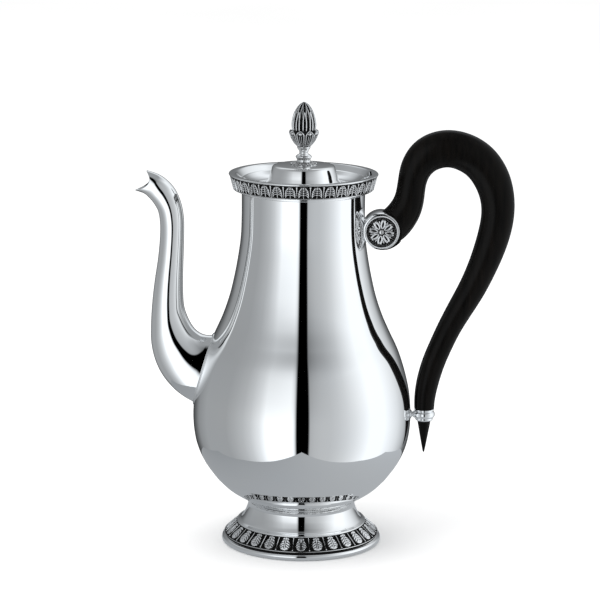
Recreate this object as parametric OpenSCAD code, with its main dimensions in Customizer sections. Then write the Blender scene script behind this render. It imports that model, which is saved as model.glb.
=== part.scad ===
// Silver coffee pot: a pear-shaped body on a spreading foot, a swan-neck spout,
// a hinged dished lid with a bud finial, and a black wooden scroll handle.
// Millimetres. Z is up, the pot's axis is Z, and the table is Z = 0.
// The handle is on +X and the spout is on -X.

/* [Body] */
// Largest radius of the belly
belly_r = 61.3; // [60.8:0.1:61.8]
// Radius of the straight neck
neck_r = 34.3; // [34.1:0.1:34.5]
// Thickness of the raised sheet body
wall = 1.2; // [1:0.1:1.4]
// Radius of each pierced strainer hole behind the spout
strain_r = 1.6; // [1:0.1:1.9]

/* [Foot] */
// Outer radius of the plain base ring
base_r = 45; // [44.6:0.1:45.6]
// Thickness of the hollow pedestal
foot_wall = 1.4; // [1:0.1:1.8]

/* [Rim and lid] */
// Outer radius of the lip at the mouth
rim_r = 41.6; // [41.4:0.1:42]
// Height of the top of the lip
rim_z = 210.3; // [210:0.1:210.6]
// Radius of the lid's edge
lid_r = 34.3; // [34:0.05:34.4]
// Outer radius of the lid's bezel, which drops into the neck
bezel_r = 31.8; // [31:0.1:31.9]
// Radius of the hinge pin
pin_r = 0.6; // [0.5:0.05:0.65]
// Radial play of the lid's knuckle on its pin
pin_play = 0.05; // [0.02:0.01:0.1]

/* [Finial] */
// Widest radius of the calyx under the bud
bud_r = 8.4; // [8:0.1:8.6]
// Height of the bud's tip above the table
bud_top = 250; // [249:0.5:251]

/* [Handle] */
// Radius of the metal drum that carries the handle's upper end
drum_r = 10.2; // [9.8:0.1:10.4]
// Half width of the drum across the handle
drum_half = 8.4; // [8.2:0.1:8.8]
// Largest radius of the lower ring
ring_r = 6.1; // [6:0.1:6.4]

/* [Hidden] */
$fn = 96;
silver = [0.86, 0.87, 0.88];
dark_silver = [0.45, 0.45, 0.46];
ebony = [0.06, 0.055, 0.05];

hinge_x = 36;
hinge_z = 208.3;
drum_x = 43.4;
drum_z = 178.8;
ring_x = 69;
ring_z = 73;

// Smooth curve through a list of points, n steps to a span
function cr(a, b, c, d, t) = 0.5 * (2 * b + (c - a) * t + (2 * a - 5 * b + 4 * c - d) * t * t
  + (3 * b - a - 3 * c + d) * t * t * t);
function spline(p, n) = concat([for (i = [0 : len(p) - 2]) for (k = [0 : n - 1])
  cr(p[max(i - 1, 0)], p[i], p[i + 1], p[min(i + 2, len(p) - 1)], k / n)], [p[len(p) - 1]]);
function rev(p) = [for (i = [len(p) - 1 : -1 : 0]) p[i]];
function unit(v) = v / norm(v);
// Direction of a run of points at its i-th point
function dirn(p, i) = unit(p[min(i + 1, len(p) - 1)] - p[max(i - 1, 0)]);
// The same run moved sideways by t, to the left of its direction
function shift(p, t) = [for (i = [0 : len(p) - 1]) let (d = dirn(p, i)) p[i] + t * [-d[1], d[0]]];

// Belly and neck, radius and height, from the foot's neck to the top of the neck
body_curve = spline([[30.9, 23.4], [31.7, 25], [34.7, 27.2], [39.3, 30.3], [43.9, 34], [49.5, 38.9], [55.4, 47.5], [59.6, 58], [belly_r, 70.5],
  [60.6, 84], [58.2, 96], [54.1, 109], [49, 120], [44.6, 130], [40.9, 141], [38.2, 152.5],
  [36.1, 164], [34.7, 175], [neck_r, 187], [neck_r, 199]], 4);
body_out = concat([[0, 25], [28.6, 25], [28.9, 24.7], [28.9, 23.4]], body_curve, [[neck_r, 205.8]]);
body_in = concat([[neck_r - wall, 205.8]], rev(shift([for (q = body_curve) if (q[1] > 26.4) q], wall)), [[31, 26.6], [29, 26.2], [0, 26.2]]);

module body_solid() rotate_extrude() polygon(concat(body_out, [[0, 205.8]]));

module body_shell() color(silver) difference() {
  rotate_extrude() polygon(concat(body_out, body_in));
  // pierced strainer: rows of holes square to the wall behind the spout
  for (row = [-2 : 2]) let (n = row % 2 == 0 ? 3 : 2) for (k = [0 : n - 1])
    translate([-57.5, (k - (n - 1) / 2) * 5, 99 + row * 4.4]) rotate([0, -74, 0]) translate([0, 0, -8]) cylinder(r = strain_r, h = 16, $fn = 48);
}

module neck_moulding() color(silver) rotate_extrude() polygon([[neck_r, 196.8], [neck_r + 0.4, 197],
  [neck_r + 0.9, 197.6], [neck_r + 1.1, 198.4], [neck_r + 1, 199.2], [neck_r + 0.8, 199.5], [neck_r, 199.5]]);

collar_profile = [[neck_r, 199.5], [36.4, 199.5], [37.4, 200], [38.5, 200.8], [39, 201.5], [38.2, 201.9],
  [39.5, 207.3], [40.5, 207.5], [41, 208.4], [rim_r, 209.6], [rim_r - 0.1, rim_z - 0.1], [rim_r - 0.4, rim_z],
  [38, rim_z], [37.5, rim_z - 0.2], [36.6, 208.6], [35.2, 206.7], [34.9, 205.8], [neck_r, 205.8]];
module mouth_collar() color(silver) difference() {
  rotate_extrude() polygon(collar_profile);
  // pocket in the inner wall that the hinge sits in
  translate([33, -7.5, 206.6]) cube([4.7, 15, 6]);
}
module rim_leaf_band() color(dark_silver) rotate_extrude() polygon([[38.2, 201.9], [39.1, 201.8], [40.3, 207.2], [39.5, 207.3]]);

// Foot
ped_out = concat([[30.9, 23.4]], spline([[30.4, 22.4], [30.2, 21.2], [30.35, 20], [31.1, 17.6], [32.3, 15], [34.1, 12.1]], 3),
  [[34.6, 11.7], [36, 11.5], [36.4, 11], [36.3, 10.4]]);
ped_in = concat([[34, 10.4]], spline([[33, 11.5], [31, 14.4], [29.75, 17.2], [29, 19.8], [28.8, 21.3]], 3), [[28.9, 23.4]]);
module foot_pedestal() color(silver) rotate_extrude() polygon(concat(ped_out, ped_in));
module foot_leaf_border() color(dark_silver) rotate_extrude() polygon([[34, 10.4], [36.3, 10.4], [36.6, 10.2], [43.2, 4.4],
  [43.8, 4.2], [43.9, 3.7], [43.6, 3.4], [41, 3.4]]);
module foot_base_ring() color(silver) rotate_extrude() polygon([[39.6, 0.4], [40, 0], [base_r - 0.3, 0], [base_r, 0.4],
  [base_r, 2], [base_r - 0.4, 2.9], [base_r - 1.1, 3.4], [40, 3.4], [39.6, 3]]);

// Spout: each section runs from a point on its outer (spout) side to one on its inner side.
// [outer x, outer z, inner x, inner z, half width]
spout_c = [[-50, 74, -42, 119, 11.6], [-66, 82, -53, 117.6, 11.4], [-75.5, 90.5, -59.4, 120.4, 10.9], [-81.6, 100.5, -63.4, 126, 10],
  [-84.7, 112, -66.2, 133.5, 9.1], [-85, 124, -66.9, 141, 8.4], [-84.2, 137, -67, 149, 7.8], [-82.8, 149, -66.8, 158, 7.3],
  [-81, 161, -66.5, 167.5, 6.9], [-79.9, 172, -66.3, 176.5, 6.6], [-79.7, 181, -66.4, 184, 6.3], [-80.7, 188, -67.4, 191, 6.1],
  [-83, 192.4, -69.8, 198, 5.9], [-85.5, 195.5, -73.6, 203.8, 5.7], [-88.6, 198.2, -79.5, 208.5, 5.4], [-93.4, 199.8, -86.8, 211.2, 4.9]];
spout_s = spline(spout_c, 2);
sides = 20;
// One ring; g shrinks it, and the last rings are drawn back at the sides to leave the beak
function sp_ring(i, g) = let (s = spout_s[i], n = len(spout_s) - 1, m = [(s[0] + s[2]) / 2, (s[1] + s[3]) / 2],
  h = norm([s[2] - s[0], s[3] - s[1]]) / 2, u = unit([s[2] - s[0], s[3] - s[1]]), back = 4.2 * pow(max(0, (i - n + 4) / 4), 1.6))
  [for (k = [0 : sides - 1]) let (a = 360 * k / sides, c = cos(a), w = sin(a))
    [m[0] + u[0] * (h - g) * w + back * c * c, (s[4] - g) * c, m[1] + u[1] * (h - g) * w - 0.25 * back * c * c]];
module tube(rings_out, rings_in) {
  n = len(rings_out); s = len(rings_out[0]);
  pts = concat([for (r = rings_out) for (p = r) p], [for (r = rings_in) for (p = r) p]);
  o = n * s;
  polyhedron(points = pts, convexity = 6, faces = concat(
    [for (i = [0 : n - 2]) for (k = [0 : s - 1]) for (f = [0, 1]) let (j = (k + 1) % s, a = i * s + k, b = i * s + j, c = (i + 1) * s + j, d = (i + 1) * s + k)
      f == 0 ? [a, b, c] : [a, c, d]],
    [for (i = [0 : n - 2]) for (k = [0 : s - 1]) for (f = [0, 1]) let (j = (k + 1) % s, a = o + i * s + k, b = o + i * s + j, c = o + (i + 1) * s + j, d = o + (i + 1) * s + k)
      f == 0 ? [a, c, b] : [a, d, c]],
    [for (k = [0 : s - 1]) for (f = [0, 1]) let (j = (k + 1) % s) f == 0 ? [k, o + k, o + j] : [k, o + j, j]],
    [for (k = [0 : s - 1]) for (f = [0, 1]) let (j = (k + 1) % s, q = (n - 1) * s) f == 0 ? [q + k, q + j, o + q + j] : [q + k, o + q + j, o + q + k]]));
}
module spout() color(silver) difference() {
  tube([for (i = [0 : len(spout_s) - 1]) sp_ring(i, 0)],
    [for (i = [0 : len(spout_s) - 1]) sp_ring(i, i == len(spout_s) - 1 ? 0.5 : 1.1)]);
  body_solid();
}

// Hinge: outer knuckles on the collar, middle knuckle on the lid
module knuckle(y0, y1, bore) difference() {
  translate([hinge_x, y0, hinge_z]) rotate([-90, 0, 0]) cylinder(r = 1.35, h = y1 - y0, $fn = 48);
  translate([hinge_x, y0 - 1, hinge_z]) rotate([-90, 0, 0]) cylinder(r = bore, h = y1 - y0 + 2, $fn = 48);
}
module hinge_knuckles() color(silver) for (s = [0, 1]) mirror([0, s, 0]) {
  knuckle(2.7, 7.2, pin_r);
  translate([36.9, 2.7, hinge_z - 0.9]) cube([0.8, 4.5, 1.8]);
}
module hinge_pin() color(silver) translate([hinge_x, -7.4, hinge_z]) rotate([-90, 0, 0]) cylinder(r = pin_r, h = 14.8, $fn = 48);
module lid_knuckle() color(silver) {
  knuckle(-2.35, 2.35, pin_r + pin_play);
  difference() {
    translate([33.2, -2.35, 207.3]) cube([2.1, 4.7, 0.9]);
    rotate_extrude() polygon(concat(lid_top, rev(lid_under)));
    translate([hinge_x, -5, hinge_z]) rotate([-90, 0, 0]) cylinder(r = 1.3, h = 10, $fn = 48);
  }
}

// Lid
lid_top = concat([[0, 215.2]], spline([[8, 215.1], [12, 215], [15.6, 214.8], [17.5, 214.3], [18.4, 212.6], [19.2, 210.4], [20.8, 208.2],
  [23.4, 206.2], [26.8, 205], [30, 205.3], [32, 206.3], [33.2, 207.2]], 3), [[34, 207.5], [lid_r, 207.3]]);
lid_under = concat([[0, 214.2]], spline([[8, 214.1], [12, 214], [15.2, 213.8], [16.5, 213.4], [17.4, 212.2], [18.2, 210], [20, 207.4],
  [23, 205.1], [26.8, 204], [30.2, 204.3], [32.4, 205.5], [33.4, 206.3]], 3), [[34, 206.3], [lid_r, 206.5]]);
module lid_shell() color(silver) difference() {
  rotate_extrude() polygon(concat(lid_top, rev(lid_under)));
  translate([0, 0, 200]) cylinder(r = 1.3, h = 30, $fn = 48);
  // the edge is let in where the hinge passes
  translate([hinge_x - 1.8, -8, 204]) cube([4, 16, 6]);
}
module lid_bezel() color(silver) rotate_extrude() polygon([[bezel_r - 1.2, 199.2], [bezel_r - 1, 199], [bezel_r - 0.2, 199], [bezel_r, 199.2],
  [bezel_r, 204.95], [bezel_r - 1.2, 204.35]]);

// Finial, all turned or cast on the lid's axis and held by one stud
module turned(p) rotate_extrude() polygon(concat([[1.3, p[0][1]]], p, [[1.3, p[len(p) - 1][1]]]));
module finial_rosette() color(dark_silver) turned([[7, 215.2], [7.6, 215.5], [7.5, 215.9], [6.4, 216.3], [4, 216.6]]);
module finial_stem() color(silver) turned(concat([[3.7, 216.6], [3.9, 217], [3.6, 217.4]], spline([[3.7, 217.9], [4.5, 219.4], [3.9, 220.2], [2.6, 221],
  [2.4, 221.8], [2.7, 222.8], [3.3, 223.8]], 3), [[3.7, 224.6], [3.6, 225.1]]));
module finial_calyx() color(dark_silver) turned(spline([[3.6, 225.1], [5.4, 226.9], [6.9, 229.2], [7.9, 231.4], [bud_r, 233], [8, 234.2], [7, 234.7]], 3));
module finial_cone() color(dark_silver) rotate_extrude() polygon(concat([[0, 234.7]], spline([[6.9, 234.7], [6.9, 237.4], [6.6, 240.4], [5.9, 243.3],
  [4.6, 246], [2.9, 248.3], [1.3, bud_top - 0.4]], 3), [[0, bud_top]]));
module finial_stud() color(silver) translate([0, 0, 211]) cylinder(r = 1.25, h = 23.7, $fn = 48);
module finial_washer() color(silver) difference() {
  translate([0, 0, 213.4]) cylinder(r = 4.5, h = 0.7);
  translate([0, 0, 213]) cylinder(r = 1.3, h = 2, $fn = 48);
}
module finial_nut() color(silver) difference() {
  translate([0, 0, 211.4]) cylinder(r = 3.2, h = 2, $fn = 6);
  translate([0, 0, 211]) cylinder(r = 1.25, h = 3, $fn = 48);
}

// Handle
module drum(r, h) translate([drum_x, -h, drum_z]) rotate([-90, 0, 0]) cylinder(r = r, h = 2 * h);
module handle_bracket() color(silver) difference() {
  union() {
    drum(drum_r, drum_half);
    translate([30, -4.6, drum_z - 6]) cube([10, 9.2, 12]);
  }
  body_solid();
  translate([drum_x, -20, drum_z]) rotate([-90, 0, 0]) cylinder(r = 1.5, h = 40, $fn = 48);
  dowel(1.6, 5, 14);
}
module cap(s) translate([drum_x, s * drum_half, drum_z]) rotate([-90 * s, 0, 0]) difference() {
  rotate_extrude() polygon([[1.5, 0], [9.3, 0], [9.6, 0.4], [9.5, 1.1], [9, 1.4], [8.3, 1], [4, 1], [2.4, 1.6], [1.5, 1.8]]);
}
module rosette_front() color(dark_silver) cap(-1);
module rosette_rear() color(dark_silver) cap(1);
module rosette_rivet() color(silver) translate([drum_x, -drum_half - 2, drum_z]) rotate([-90, 0, 0]) cylinder(r = 1.5, h = 2 * drum_half + 4, $fn = 48);
// dowel from the drum into the wood, up and away from the body
module dowel(r, a, b) translate([drum_x, 0, drum_z]) rotate([0, 48, 0]) translate([0, 0, a]) cylinder(r = r, h = b, $fn = 48);
module bracket_dowel() color(silver) dowel(1.6, 5, 13);

// Centre line of the wooden handle: x, z and thickness in the handle's plane
grip_c = [[45.6, 177.4, 20.4], [50.4, 180.8, 20.8], [54.6, 185.6, 19.6], [57.6, 191.4, 17.8], [59.2, 197.8, 16.2], [60.2, 205.6, 15.8], [62.4, 213.6, 17.6],
  [67.6, 220.4, 19.7], [75, 223.9, 20.6], [83, 224.3, 20.8], [91.5, 221.5, 21], [99, 216, 20.8], [104.8, 207, 20.2],
  [107.8, 197, 19], [108.2, 187, 18.3], [106.5, 177, 18], [103.4, 166.5, 17.2], [99.3, 155.7, 16.1], [94.2, 144.6, 15.3],
  [88, 133.6, 14.3], [82.3, 123, 13.3], [77.6, 112.5, 13], [73.6, 102.5, 12.9], [70.7, 92, 12.6], [69.2, 83, 11.8], [69, 76.4, 11.2]];
grip_s = spline(grip_c, 2);
function flat(p) = [for (q = p) [q[0], q[1]]];
grip_f = flat(grip_s);
function sgn_pow(v, e) = sign(v) * pow(abs(v), e);
function grip_ring(i) = let (s = grip_s[i], d = dirn(grip_f, i), t = s[2] / 2, w = 5.6 + (s[2] - 11.2) * 0.26, e = 0.86)
  [for (k = [0 : 19]) let (a = 18 * k) [s[0] - d[1] * t * sgn_pow(sin(a), e), w * sgn_pow(cos(a), e), s[1] + d[0] * t * sgn_pow(sin(a), e)]];
module loft(r) {
  n = len(r); s = len(r[0]);
  polyhedron(points = [for (q = r) for (p = q) p], convexity = 6, faces = concat(
    [for (i = [0 : n - 2]) for (k = [0 : s - 1]) for (f = [0, 1]) let (j = (k + 1) % s, a = i * s + k, b = i * s + j, c = (i + 1) * s + j, d = (i + 1) * s + k)
      f == 0 ? [a, c, b] : [a, d, c]],
    [[for (k = [0 : s - 1]) k]], [[for (k = [s - 1 : -1 : 0]) (n - 1) * s + k]]));
}
module handle_grip() color(ebony) difference() {
  union() {
    loft([for (i = [0 : len(grip_s) - 1]) grip_ring(i)]);
    drum(drum_r + 1.2, 7.6);
  }
  // seat round the drum, left open towards the body
  drum(drum_r, 12);
  translate([drum_x - 30, -12, drum_z - 20]) cube([24, 24, 40]);
  dowel(1.6, 5, 14);
  translate([ring_x, 0, 60]) cylinder(r = 1.3, h = 32, $fn = 48);
}

// Lower end of the handle
module lower_strut() color(silver) difference() {
  translate([58, 0, ring_z]) rotate([0, 90, 0]) rotate_extrude() polygon([[0, 0], [2.8, 0], [2.8, 3.7], [2.2, 4], [1.9, 4.3], [2, 4.8], [2, 6.5], [0, 6.5]]);
  // the belly is almost a cylinder where the strut meets it
  translate([0, 0, 60]) cylinder(r = belly_r + 0.06, h = 26, $fn = 720);
  translate([ring_x, 0, 60]) cylinder(r = 5.4, h = 30, $fn = 180);
}
module handle_ring() color(silver) difference() {
  translate([ring_x, 0, 0]) rotate_extrude() polygon([[1.3, 69.5], [4.4, 69.5], [5, 69.8], [5.2, 70.4], [4.9, 71], [5.4, 71.4],
    [6.1, 72], [ring_r, 73], [6.1, 74], [5.4, 74.6], [5.2, 74.9], [5.6, 75.3], [5.6, 76], [5.1, 76.4], [1.3, 76.4]]);
  translate([58, 0, ring_z]) rotate([0, 90, 0]) cylinder(r = 2, h = 6.5);
}
module handle_tip() color(ebony) translate([ring_x, 0, 0]) difference() {
  rotate_extrude() polygon([[0, 50.8], [0.35, 51], [1, 54], [2.3, 61], [3.5, 67.6], [3.8, 69.5], [0, 69.5]]);
  translate([0, 0, 62]) cylinder(r = 1.3, h = 10, $fn = 48);
}
module tip_stud() color(silver) translate([ring_x, 0, 62]) cylinder(r = 1.3, h = 30, $fn = 48);

body_shell();
neck_moulding();
mouth_collar();
rim_leaf_band();
spout();
foot_pedestal();
foot_leaf_border();
foot_base_ring();
hinge_knuckles();
hinge_pin();
lid_knuckle();
lid_shell();
lid_bezel();
finial_rosette();
finial_stem();
finial_calyx();
finial_cone();
finial_stud();
finial_washer();
finial_nut();
handle_bracket();
rosette_front();
rosette_rear();
rosette_rivet();
bracket_dowel();
handle_grip();
lower_strut();
handle_ring();
handle_tip();
tip_stud();
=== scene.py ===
import bpy, math
import numpy as np
from mathutils import Matrix, Vector


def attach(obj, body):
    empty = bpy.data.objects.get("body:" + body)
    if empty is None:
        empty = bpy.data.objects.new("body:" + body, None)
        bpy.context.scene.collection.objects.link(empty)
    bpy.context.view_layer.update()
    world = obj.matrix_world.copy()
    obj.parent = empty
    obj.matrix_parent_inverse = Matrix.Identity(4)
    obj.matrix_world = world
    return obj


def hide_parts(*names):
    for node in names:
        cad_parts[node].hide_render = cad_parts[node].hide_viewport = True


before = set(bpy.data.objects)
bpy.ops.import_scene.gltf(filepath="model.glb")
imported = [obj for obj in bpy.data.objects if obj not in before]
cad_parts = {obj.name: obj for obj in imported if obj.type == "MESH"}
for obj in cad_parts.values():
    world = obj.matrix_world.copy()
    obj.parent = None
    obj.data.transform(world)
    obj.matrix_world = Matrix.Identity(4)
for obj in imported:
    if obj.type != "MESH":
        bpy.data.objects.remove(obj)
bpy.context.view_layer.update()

MM = 0.001
pi = math.pi


# ------------------------------------------------------------------ helpers
def spline(p, n):
    p = np.array(p, float)
    out = []
    m = len(p)
    for i in range(m - 1):
        a, b, c, d = p[max(i - 1, 0)], p[i], p[i + 1], p[min(i + 2, m - 1)]
        for k in range(n):
            t = k / n
            out.append(0.5 * (2 * b + (c - a) * t + (2 * a - 5 * b + 4 * c - d) * t * t + (3 * b - a - 3 * c + d) * t ** 3))
    out.append(p[-1])
    return np.array(out)


def shifted(p, t):
    """A run of profile points moved sideways by t, to the left of its direction."""
    d = np.gradient(p, axis=0)
    d /= np.maximum(np.linalg.norm(d, axis=1), 1e-9)[:, None]
    return p + t * np.stack([-d[:, 1], d[:, 0]], 1)


def rounded(p, r=0.25, n=4):
    """Rounds the corners of a closed profile."""
    p = [np.array(q, float) for q in p]
    out = []
    m = len(p)
    for i in range(m):
        a, b, c = p[i - 1], p[i], p[(i + 1) % m]
        u, v = a - b, c - b
        lu, lv = np.linalg.norm(u), np.linalg.norm(v)
        if lu < 1e-6 or lv < 1e-6 or b[0] < 1e-6:
            out.append(b)
            continue
        k = min(r, 0.45 * lu, 0.45 * lv)
        s, e = b + u / lu * k, b + v / lv * k
        for j in range(n + 1):
            t = j / n
            out.append((1 - t) ** 2 * s + 2 * t * (1 - t) * b + t * t * e)
    return np.array(out)


def make(name, co, faces, relief=None, sharp=40, extra=None):
    """A mesh object from points in millimetres."""
    me = bpy.data.meshes.new(name)
    me.from_pydata((np.asarray(co) * MM).tolist(), [], faces)
    me.validate()
    me.polygons.foreach_set("use_smooth", [True] * len(me.polygons))
    me.set_sharp_from_angle(angle=math.radians(sharp))
    if relief is not None:
        at = me.attributes.new("relief", "FLOAT", "POINT")
        at.data.foreach_set("value", np.asarray(relief, np.float32).ravel())
    me.update()
    o = bpy.data.objects.new(name, me)
    bpy.context.scene.collection.objects.link(o)
    return o


def grid_faces(rows, cols, wrap_r=False, wrap_c=True, flip=False, base=0):
    f = []
    for i in range(rows if wrap_r else rows - 1):
        a, b = base + i * cols, base + ((i + 1) % rows) * cols
        for k in range(cols if wrap_c else cols - 1):
            j = (k + 1) % cols
            f.append((a + k, b + k, b + j, a + j) if flip else (a + k, a + j, b + j, b + k))
    return f


def revolve(name, profile, n=256, closed=True, sharp=40, cx=0.0):
    """Turns a profile of (radius, height). A closed profile is a ring; an open one starts and ends on the axis."""
    p = np.asarray(profile, float)
    a = (np.arange(n) + 0.37) * 2 * pi / n
    ca, sa = np.cos(a), np.sin(a)
    if closed:
        # profiles run counter-clockwise seen with the axis on the left
        area = 0.5 * np.sum(p[:, 0] * np.roll(p[:, 1], -1) - np.roll(p[:, 0], -1) * p[:, 1])
        if area < 0:
            p = p[::-1]
        co = np.stack([p[:, None, 0] * ca + cx, p[:, None, 0] * sa, np.repeat(p[:, 1:2], n, 1)], 2).reshape(-1, 3)
        return make(name, co, grid_faces(len(p), n, True, True), sharp=sharp)
    q = p[1:-1]
    co = np.stack([q[:, None, 0] * ca + cx, q[:, None, 0] * sa, np.repeat(q[:, 1:2], n, 1)], 2).reshape(-1, 3)
    m = len(q)
    co = np.vstack([co, [[cx, 0, p[0, 1]], [cx, 0, p[-1, 1]]]])
    f = grid_faces(m, n, False, True)
    f += [(m * n, (k + 1) % n, k) for k in range(n)]
    f += [(m * n + 1, (m - 1) * n + k, (m - 1) * n + (k + 1) % n) for k in range(n)]
    return make(name, co, f, sharp=sharp)


def loft(name, rings, caps=True, sharp=45):
    """rings: (R, K, 3) in millimetres."""
    r = np.asarray(rings, float)
    R, K = r.shape[:2]
    f = grid_faces(R, K, False, True)
    if caps:
        f += [tuple(range(K - 1, -1, -1)), tuple((R - 1) * K + k for k in range(K))]
    return make(name, r.reshape(-1, 3), f, sharp=sharp)


def fix_normals(o):
    import bmesh
    bm = bmesh.new()
    bm.from_mesh(o.data)
    bmesh.ops.recalc_face_normals(bm, faces=bm.faces)
    bm.to_mesh(o.data)
    bm.free()


def cut(o, cutters):
    """Boolean difference, applied, with the cutters removed."""
    dg = bpy.context.evaluated_depsgraph_get
    for c in cutters:
        m = o.modifiers.new("cut", "BOOLEAN")
        m.operation = "DIFFERENCE"
        m.solver = "EXACT"
        m.object = c
    bpy.context.view_layer.update()
    me = bpy.data.meshes.new_from_object(o.evaluated_get(dg()))
    o.modifiers.clear()
    old = o.data
    o.data = me
    bpy.data.meshes.remove(old)
    for c in cutters:
        bpy.data.objects.remove(c)
    o.data.polygons.foreach_set("use_smooth", [True] * len(o.data.polygons))
    o.data.set_sharp_from_angle(angle=math.radians(35))


def put(o, body, mat, slot, *replaced):
    o.data.materials.clear()
    o.data.materials.append(mat)
    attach(o, body)
    if replaced:
        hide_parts(*replaced)
    return o


def seg_dist(X, Y, pts):
    """Distance from a grid of points to a polyline, and how far along the line (0 to 1) the nearest point is."""
    best = np.full(X.shape, 1e9)
    along = np.zeros(X.shape)
    pts = np.array(pts, float)
    L = np.r_[0, np.cumsum(np.linalg.norm(np.diff(pts, axis=0), axis=1))]
    for i in range(len(pts) - 1):
        a, b = pts[i], pts[i + 1]
        d = b - a
        l2 = max(d @ d, 1e-12)
        t = np.clip(((X - a[0]) * d[0] + (Y - a[1]) * d[1]) / l2, 0, 1)
        r = np.hypot(X - a[0] - t * d[0], Y - a[1] - t * d[1])
        m = r < best
        best[m] = r[m]
        along[m] = (L[i] + t[m] * math.sqrt(l2)) / L[-1]
    return best, along


def ridge(X, Y, pts, w0, w1=None):
    """Rounded ridge along a polyline, half width going from w0 to w1; 0 to 1."""
    w1 = w0 if w1 is None else w1
    d, t = seg_dist(X, Y, pts)
    w = w0 + (w1 - w0) * t
    return np.sqrt(np.clip(1 - (d / w) ** 2, 0, 1))


def bez(a, b, c, n=5):
    t = np.linspace(0, 1, n)[:, None]
    a, b, c = np.array(a, float), np.array(b, float), np.array(c, float)
    return (1 - t) ** 2 * a + 2 * t * (1 - t) * b + t * t * c


def sstep(x, a, b):
    t = np.clip((x - a) / (b - a), 0, 1)
    return t * t * (3 - 2 * t)


# ---------------------------------------------------------------- materials
def new_mat(name):
    m = bpy.data.materials.new(name)
    m.use_nodes = True
    nt = m.node_tree
    nt.nodes.clear()
    out = nt.nodes.new("ShaderNodeOutputMaterial")
    b = nt.nodes.new("ShaderNodeBsdfPrincipled")
    nt.links.new(b.outputs["BSDF"], out.inputs["Surface"])
    return m, nt, b


def tex_noise(nt, scale, detail=4, rough=0.5, vec=None, stretch=None):
    tc = nt.nodes.new("ShaderNodeTexCoord")
    mp = nt.nodes.new("ShaderNodeMapping")
    nt.links.new(tc.outputs["Object"], mp.inputs["Vector"])
    if stretch:
        mp.inputs["Scale"].default_value = stretch
    n = nt.nodes.new("ShaderNodeTexNoise")
    n.inputs["Scale"].default_value = scale
    n.inputs["Detail"].default_value = detail
    n.inputs["Roughness"].default_value = rough
    nt.links.new(mp.outputs["Vector"], n.inputs["Vector"])
    return n


def ramp(nt, src, stops):
    r = nt.nodes.new("ShaderNodeValToRGB")
    els = r.color_ramp.elements
    while len(els) < len(stops):
        els.new(0.5)
    for e, (p, c) in zip(els, stops):
        e.position = p
        e.color = (*c, 1) if len(c) == 3 else c
    nt.links.new(src, r.inputs["Fac"])
    return r


def silver_mat():
    m, nt, b = new_mat("polished_silver")
    b.inputs["Metallic"].default_value = 1.0
    # very slight warm and cool drift in the plate
    n1 = tex_noise(nt, 22, 3)
    c = ramp(nt, n1.outputs["Fac"], [(0.3, (0.925, 0.935, 0.945)), (0.7, (0.955, 0.955, 0.95))])
    nt.links.new(c.outputs["Color"], b.inputs["Base Color"])
    # polish: mirror-bright with faint wiping marks
    n2 = tex_noise(nt, 90, 6, 0.65, stretch=(1, 1, 0.25))
    r = ramp(nt, n2.outputs["Fac"], [(0.35, (0.012,) * 3), (0.75, (0.03,) * 3)])
    nt.links.new(r.outputs["Color"], b.inputs["Roughness"])
    return m


def relief_mat():
    """Bright raised work on a blackened ground: the relief height drives the wear of the patina."""
    m, nt, b = new_mat("oxidised_silver")
    at = nt.nodes.new("ShaderNodeAttribute")
    at.attribute_name = "relief"
    n = tex_noise(nt, 900, 4, 0.6)
    add = nt.nodes.new("ShaderNodeMath")
    add.operation = "MULTIPLY_ADD"
    nt.links.new(n.outputs["Fac"], add.inputs[0])
    add.inputs[1].default_value = 0.22
    nt.links.new(at.outputs["Fac"], add.inputs[2])
    sub = nt.nodes.new("ShaderNodeMath")
    sub.operation = "SUBTRACT"
    nt.links.new(add.outputs[0], sub.inputs[0])
    sub.inputs[1].default_value = 0.11
    col = ramp(nt, sub.outputs[0], [(0.0, (0.003, 0.003, 0.003)), (0.42, (0.01, 0.01, 0.011)), (0.58, (0.4, 0.4, 0.4)), (0.74, (0.97, 0.975, 0.98))])
    nt.links.new(col.outputs["Color"], b.inputs["Base Color"])
    met = ramp(nt, sub.outputs[0], [(0.42, (0.1,) * 3), (0.62, (1.0,) * 3)])
    nt.links.new(met.outputs["Color"], b.inputs["Metallic"])
    rg = ramp(nt, sub.outputs[0], [(0.25, (0.65,) * 3), (0.6, (0.26,) * 3), (0.9, (0.16,) * 3)])
    nt.links.new(rg.outputs["Color"], b.inputs["Roughness"])
    b.inputs["Specular IOR Level"].default_value = 0.1
    n3 = tex_noise(nt, 2600, 3, 0.6)
    bp = nt.nodes.new("ShaderNodeBump")
    bp.inputs["Strength"].default_value = 0.15
    bp.inputs["Distance"].default_value = 0.00005
    nt.links.new(n3.outputs["Fac"], bp.inputs["Height"])
    nt.links.new(bp.outputs["Normal"], b.inputs["Normal"])
    return m


def ebony_mat():
    m, nt, b = new_mat("ebony")
    # long grain down the handle with a faint brown in it, under a rubbed finish
    n1 = tex_noise(nt, 60, 8, 0.6, stretch=(6, 6, 0.6))
    c = ramp(nt, n1.outputs["Fac"], [(0.35, (0.0018, 0.0016, 0.0015)), (0.62, (0.004, 0.0033, 0.0028)), (0.8, (0.008, 0.0058, 0.0045))])
    nt.links.new(c.outputs["Color"], b.inputs["Base Color"])
    n2 = tex_noise(nt, 240, 6, 0.6, stretch=(3, 3, 0.25))
    r = ramp(nt, n2.outputs["Fac"], [(0.3, (0.2,) * 3), (0.75, (0.34,) * 3)])
    nt.links.new(r.outputs["Color"], b.inputs["Roughness"])
    b.inputs["Specular IOR Level"].default_value = 0.09
    bp = nt.nodes.new("ShaderNodeBump")
    bp.inputs["Strength"].default_value = 0.1
    bp.inputs["Distance"].default_value = 0.00012
    nt.links.new(n2.outputs["Fac"], bp.inputs["Height"])
    nt.links.new(bp.outputs["Normal"], b.inputs["Normal"])
    return m


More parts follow.
